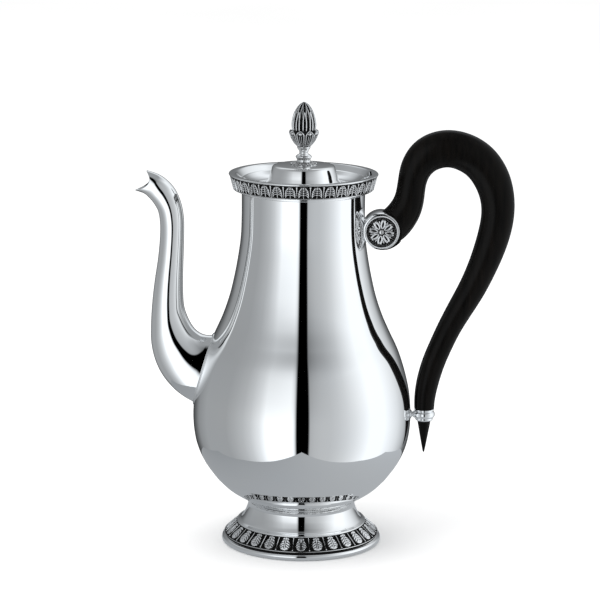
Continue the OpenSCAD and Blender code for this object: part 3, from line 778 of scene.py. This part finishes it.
# strut: a waisted bead between the belly and the ring
rows = []
aa = np.arange(48) * 2 * pi / 48
for (x, r) in ((60.7, 2.7), (61.3, 2.72), (61.55, 2.6), (61.8, 2.1), (62.1, 1.62), (62.45, 1.45), (62.8, 1.6), (63.1, 2.0), (63.4, 2.2), (64.2, 2.2)):
    rows.append(np.stack([np.full(48, x), r * np.cos(aa), 73 + r * np.sin(aa)], 1))
st_ = loft("waisted_strut", rows, sharp=60)
fix_normals(st_)
put(st_, "pot", SILVER, "polished_silver", "lower_strut")


# ------------------------------------------------------------ studio, lights
def emit(name, attr=True, strength=1.0, color=(1, 1, 1)):
    m = bpy.data.materials.new(name)
    m.use_nodes = True
    nt = m.node_tree
    nt.nodes.clear()
    out = nt.nodes.new("ShaderNodeOutputMaterial")
    em = nt.nodes.new("ShaderNodeEmission")
    em.inputs["Strength"].default_value = strength
    em.inputs["Color"].default_value = (*color, 1)
    if attr:
        at = nt.nodes.new("ShaderNodeAttribute")
        at.attribute_name = "glow"
        nt.links.new(at.outputs["Color"], em.inputs["Color"])
    nt.links.new(em.outputs[0], out.inputs["Surface"])
    m.cycles.emission_sampling = "NONE"
    return m


def only_reflected(o):
    o.visible_camera = False
    o.visible_diffuse = False
    o.visible_shadow = False
    o.visible_transmission = False
    o.visible_volume_scatter = False


# A tent of diffusing panels round the pot, seen only in reflections. Brightness by direction: azimuth 0 is towards the camera, +90 towards the handle.
AZ = [-180, -165, -150, -138, -120, -86, -75, -64, -55, -45, -38, -12, -9, -7.4, -5.4, 6.6, 8.6, 13, 20, 30, 38, 47, 57, 67, 76, 96, 120, 138, 150, 165, 180]
LOW = [.03, .05, .14, .28, .36, .36, .42, .50, .62, .86, 1.15, 1.2, 1.1, .8, .0, .0, .45, .50, .53, .55, .60, .68, .80, .95, 1.1, 1.1, .8, .5, .18, .06, .03]
MID = [.3, .25, .25, .3, .32, .34, .37, .42, .52, .66, .80, .95, .8, .55, .0, .0, .34, .40, .46, .52, .58, .68, .84, .98, 1.1, 1.1, .9, .7, .5, .3, .3]
HIGH = [.95, .9, .7, .55, .42, .36, .36, .38, .40, .43, .45, .42, .38, .2, .0, .0, .18, .24, .3, .36, .42, .5, .64, .8, .95, 1.0, .9, .92, .95, .95, .95]


def tent_light(az, el):
    lo, mi, hi = np.interp(az, AZ, LOW), np.interp(az, AZ, MID), np.interp(az, AZ, HIGH)
    t1 = np.clip((el + 5) / 27, 0, 1)
    t2 = np.clip((el - 22) / 18, 0, 1)
    v = lo * (1 - t1) + mi * t1
    v = v * (1 - t2) + hi * t2
    t3 = np.clip((el - 46) / 16, 0, 1)
    return v * (1 - t3) + 0.33 * t3


na, ne = 720, 120
azs = np.linspace(-180, 180, na, endpoint=False) + 0.13
els = np.linspace(-89.5, 89.5, ne)
E, A = np.meshgrid(np.radians(els), np.radians(azs), indexing="ij")
RS = 3000.0
co = np.stack([RS * np.cos(E) * np.sin(A), -RS * np.cos(E) * np.cos(A), RS * np.sin(E) + 120], 2).reshape(-1, 3)
me = bpy.data.meshes.new("light_tent")
me.from_pydata((co * MM).tolist(), [], grid_faces(ne, na, False, True))
L = tent_light(np.degrees(A), np.degrees(E)).ravel()
ca = me.color_attributes.new("glow", "FLOAT_COLOR", "POINT")
tint = np.stack([L * 0.945, L * 0.985, L * 1.02, np.ones_like(L)], 1).astype(np.float32)
ca.data.foreach_set("color", tint.ravel())
tent = bpy.data.objects.new("light_tent", me)
bpy.context.scene.collection.objects.link(tent)
tent.data.materials.append(emit("tent_glow"))
only_reflected(tent)

# the near part of the table, as the silver sees it: a plain grey sheet out to the foot of the panels
pts = [(0, -200), (60, -128), (110, -76), (160, 0), (140, 90), (0, 200), (-140, 90), (-160, 0), (-110, -76), (-60, -128)]
me = bpy.data.meshes.new("table_card")
me.from_pydata([(x * MM, y * MM, -0.3 * MM) for x, y in pts] + [(0, 0, -0.3 * MM)], [], [(i, (i + 1) % 10, 10) for i in range(10)])
g_ = np.array([0.40 + 0.0006 * x for x, y in pts] + [0.40])
ca = me.color_attributes.new("glow", "FLOAT_COLOR", "POINT")
ca.data.foreach_set("color", np.stack([g_ * 0.95, g_, g_ * 1.05, np.ones_like(g_)], 1).astype(np.float32).ravel())
card = bpy.data.objects.new("table_card", me)
bpy.context.scene.collection.objects.link(card)
card.data.materials.append(emit("card_glow"))
only_reflected(card)

# pale floor
me = bpy.data.meshes.new("floor")
s_ = 6.0
me.from_pydata([(-s_, -s_, -0.0006), (s_, -s_, -0.0006), (s_, s_, -0.0006), (-s_, s_, -0.0006)], [], [(0, 1, 2, 3)])
floor = bpy.data.objects.new("floor", me)
bpy.context.scene.collection.objects.link(floor)
fm, nt, b = new_mat("floor_pale")
n_ = tex_noise(nt, 3, 2)
c_ = ramp(nt, n_.outputs["Fac"], [(0.3, (0.86, 0.86, 0.86)), (0.7, (0.88, 0.88, 0.88))])
nt.links.new(c_.outputs["Color"], b.inputs["Base Color"])
b.inputs["Roughness"].default_value = 0.9
b.inputs["Specular IOR Level"].default_value = 0.0
floor.data.materials.append(fm)
floor.visible_glossy = False

w = bpy.data.worlds.new("studio")
bpy.context.scene.world = w
w.use_nodes = True
w.cycles_visibility.glossy = False
bg = w.node_tree.nodes["Background"]
bg.inputs["Color"].default_value = (1.0, 1.0, 1.0, 1)
bg.inputs["Strength"].default_value = 1.12


def area(name, loc, target, size, power):
    l = bpy.data.lights.new(name, "AREA")
    l.shape = "RECTANGLE"
    l.size, l.size_y = size
    l.energy = power
    o = bpy.data.objects.new(name, l)
    bpy.context.scene.collection.objects.link(o)
    o.location = Vector(loc)
    o.rotation_euler = (Vector(target) - Vector(loc)).to_track_quat("-Z", "Y").to_euler()
    o.visible_camera = False
    o.visible_glossy = False
    return o


area("key_left", (-0.9, -0.7, 1.3), (0, 0, 0.1), (1.2, 1.2), 9)
area("top_soft", (0.1, 0.3, 1.8), (0, 0, 0.1), (1.6, 1.6), 8)

# ------------------------------------------------------------------- camera
PITCH, ROLL = math.radians(11.8), math.radians(0.40)
D = 2750 * 0.56
fwd = np.array([0, math.cos(PITCH), -math.sin(PITCH)])
right = np.array([1.0, 0, 0])
up = np.array([0, math.sin(PITCH), math.cos(PITCH)])
cR, sR = math.cos(ROLL), math.sin(ROLL)
r2 = right * cR + up * sR
u2 = -right * sR + up * cR
C = np.array([-1.515, 0, 138.24]) - fwd * D
cam_d = bpy.data.cameras.new("camera")
cam_d.sensor_width = 36
cam_d.sensor_fit = "HORIZONTAL"
cam_d.lens = 2750 / 600 * 36
cam_d.clip_start = 0.05
cam_d.clip_end = 50
cam = bpy.data.objects.new("camera", cam_d)
bpy.context.scene.collection.objects.link(cam)
M = np.eye(4)
M[:3, 0], M[:3, 1], M[:3, 2], M[:3, 3] = r2, u2, -fwd, C * MM
cam.matrix_world = Matrix(M.tolist())
bpy.context.scene.camera = cam

vs = bpy.context.scene.view_settings
vs.view_transform = "Standard"
vs.look = "None"
vs.exposure = 0.0
vs.gamma = 1.0
